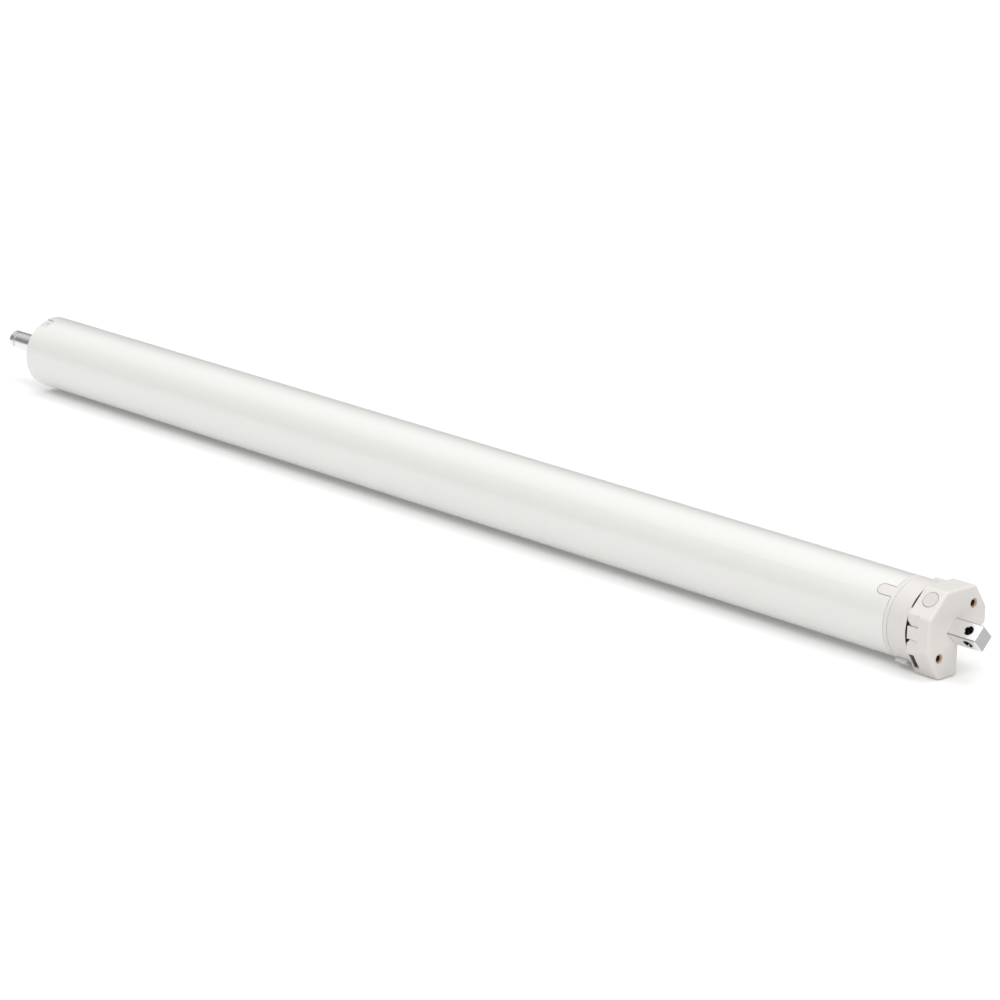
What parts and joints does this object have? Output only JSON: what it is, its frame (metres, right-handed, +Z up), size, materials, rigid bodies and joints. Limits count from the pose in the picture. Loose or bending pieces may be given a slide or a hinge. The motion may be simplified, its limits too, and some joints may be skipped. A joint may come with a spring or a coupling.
{
  "type": "roller shade motor",
  "caption": "Battery tubular motor for a roller shade: a round housing with a turning output shaft, a head with a free crown and button, and a square bracket pin.",
  "frame": {"origin": "on the motor's axis, in the head's end face, where the square bracket pin leaves it", "axes": "+X along the axis and out along the square pin, +Z up with the pin standing on one of its corners, +Y horizontal, away from the side with the button"},
  "size_m": [0.8194, 0.0463, 0.0475],
  "materials": {
    "tube_white": "satin powder coat",
    "head_white": "fine moulded texture",
    "crown_white": "fine moulded texture",
    "button_white": "smooth satin",
    "pin_chrome": "bright plated",
    "shaft_steel": "turned and ground",
    "insert_brass": "turned",
    "cap_grey": "moulded",
    "steel": "machined",
    "screw_steel": "zinc plated",
    "gear_nylon": "moulded nylon",
    "motor_zinc": "zinc plated",
    "stator_steel": "stacked laminations",
    "winding_copper": "enamelled wire",
    "magnet_black": "nickel plated magnet",
    "bush_bronze": "sintered bronze",
    "seal_black": "moulded",
    "board_green": "solder mask",
    "tray_black": "moulded",
    "chip_black": "moulded",
    "shield_tin": "tin plated",
    "capacitor_can": "bright can",
    "plug_white": "moulded",
    "cell_wrap": "plastic sleeve",
    "link_nickel": "plain strip",
    "lead_red": "insulated wire",
    "plunger_black": "moulded"
  },
  "bodies": {
    "housing": {"housing_tube": "tube_white", "collar": "head_white", "spigot_screws": "screw_steel", "head_body": "head_white", "head_leads": "lead_red", "square_pin": "pin_chrome", "pin_retainer_plate": "steel", "retainer_screws": "screw_steel", "face_inserts": "insert_brass", "tact_switch": "chip_black", "charge_port": "shield_tin", "board_tray": "tray_black", "control_board": "board_green", "board_screws": "screw_steel", "radio_module": "shield_tin", "motor_driver_chips": "chip_black", "power_capacitors": "capacitor_can", "charge_inductor": "chip_black", "harness_connectors": "plug_white", "battery_cells": "cell_wrap", "cell_spacers": "tray_black", "cell_links": "link_nickel", "wire_harness": "lead_red", "motor_can": "motor_zinc", "motor_end_bell": "motor_zinc", "motor_bearings": "steel", "stator_core": "stator_steel", "stator_windings": "winding_copper", "hall_sensor_board": "board_green", "rubber_mounts": "seal_black", "motor_plate": "steel", "motor_screws": "screw_steel", "gearbox_screws": "screw_steel", "ring_gear": "gear_nylon", "output_bushes": "bush_bronze", "shaft_seal": "seal_black", "output_cap": "cap_grey"},
    "rotor": {"motor_shaft": "steel", "stage_1_sun": "steel", "rotor_core": "steel", "rotor_magnets": "magnet_black"},
    "stage_1": {"stage_1_carrier": "steel", "stage_1_pins": "steel", "stage_2_sun": "steel"},
    "output": {"stage_2_carrier": "steel", "stage_2_pins": "steel", "output_shaft": "shaft_steel"},
    "crown": {"crown": "crown_white"},
    "button": {"push_button": "button_white", "switch_plunger": "plunger_black"},
    "stage_1_planet_a": {"stage_1_planet_a": "gear_nylon"},
    "stage_1_planet_b": {"stage_1_planet_b": "gear_nylon"},
    "stage_1_planet_c": {"stage_1_planet_c": "gear_nylon"},
    "stage_2_planet_a": {"stage_2_planet_a": "gear_nylon"},
    "stage_2_planet_b": {"stage_2_planet_b": "gear_nylon"},
    "stage_2_planet_c": {"stage_2_planet_c": "gear_nylon"}
  },
  "joints": [
    {"name": "stage_1_spin", "type": "hinge", "parent": "housing", "child": "stage_1", "pos_m": [-0.7166, 0, 0], "axis": [1, 0, 0], "continuous": true},
    {"name": "motor_spin", "type": "hinge", "parent": "housing", "child": "rotor", "pos_m": [-0.67, 0, 0], "axis": [1, 0, 0], "continuous": true},
    {"name": "output_spin", "type": "hinge", "parent": "housing", "child": "output", "pos_m": [-0.7613, 0, 0], "axis": [1, 0, 0], "continuous": true},
    {"name": "stage_1_planet_a_spin", "type": "hinge", "parent": "stage_1", "child": "stage_1_planet_a", "pos_m": [-0.7096, 0.0105, 0], "axis": [1, 0, 0], "continuous": true},
    {"name": "stage_1_planet_b_spin", "type": "hinge", "parent": "stage_1", "child": "stage_1_planet_b", "pos_m": [-0.7096, -0.00525, 0.00909], "axis": [1, 0, 0], "continuous": true},
    {"name": "stage_1_planet_c_spin", "type": "hinge", "parent": "stage_1", "child": "stage_1_planet_c", "pos_m": [-0.7096, -0.00525, -0.00909], "axis": [1, 0, 0], "continuous": true},
    {"name": "stage_2_planet_a_spin", "type": "hinge", "parent": "output", "child": "stage_2_planet_a", "pos_m": [-0.7252, 0.0105, 0], "axis": [1, 0, 0], "continuous": true},
    {"name": "stage_2_planet_b_spin", "type": "hinge", "parent": "output", "child": "stage_2_planet_b", "pos_m": [-0.7252, -0.00525, 0.00909], "axis": [1, 0, 0], "continuous": true},
    {"name": "stage_2_planet_c_spin", "type": "hinge", "parent": "output", "child": "stage_2_planet_c", "pos_m": [-0.7252, -0.00525, -0.00909], "axis": [1, 0, 0], "continuous": true},
    {"name": "crown_spin", "type": "hinge", "parent": "housing", "child": "crown", "pos_m": [-0.0225, 0, 0], "axis": [1, 0, 0], "continuous": true},
    {"name": "button_press", "type": "slide", "parent": "housing", "child": "button", "axis": [0, 0.7071, -0.7071], "range_m": [0, 0.0006], "stiffness_N_per_m": 1500, "springref_m": -0.0006}
  ],
  "couplings": [
    {"joint": "motor_spin", "follows": "stage_1_spin", "ratio": 5},
    {"joint": "output_spin", "follows": "stage_1_spin", "ratio": 0.2},
    {"joint": "stage_1_planet_a_spin", "follows": "stage_1_spin", "ratio": -2.6667},
    {"joint": "stage_1_planet_b_spin", "follows": "stage_1_spin", "ratio": -2.6667},
    {"joint": "stage_1_planet_c_spin", "follows": "stage_1_spin", "ratio": -2.6667},
    {"joint": "stage_2_planet_a_spin", "follows": "stage_1_spin", "ratio": -0.53333},
    {"joint": "stage_2_planet_b_spin", "follows": "stage_1_spin", "ratio": -0.53333},
    {"joint": "stage_2_planet_c_spin", "follows": "stage_1_spin", "ratio": -0.53333}
  ]
}
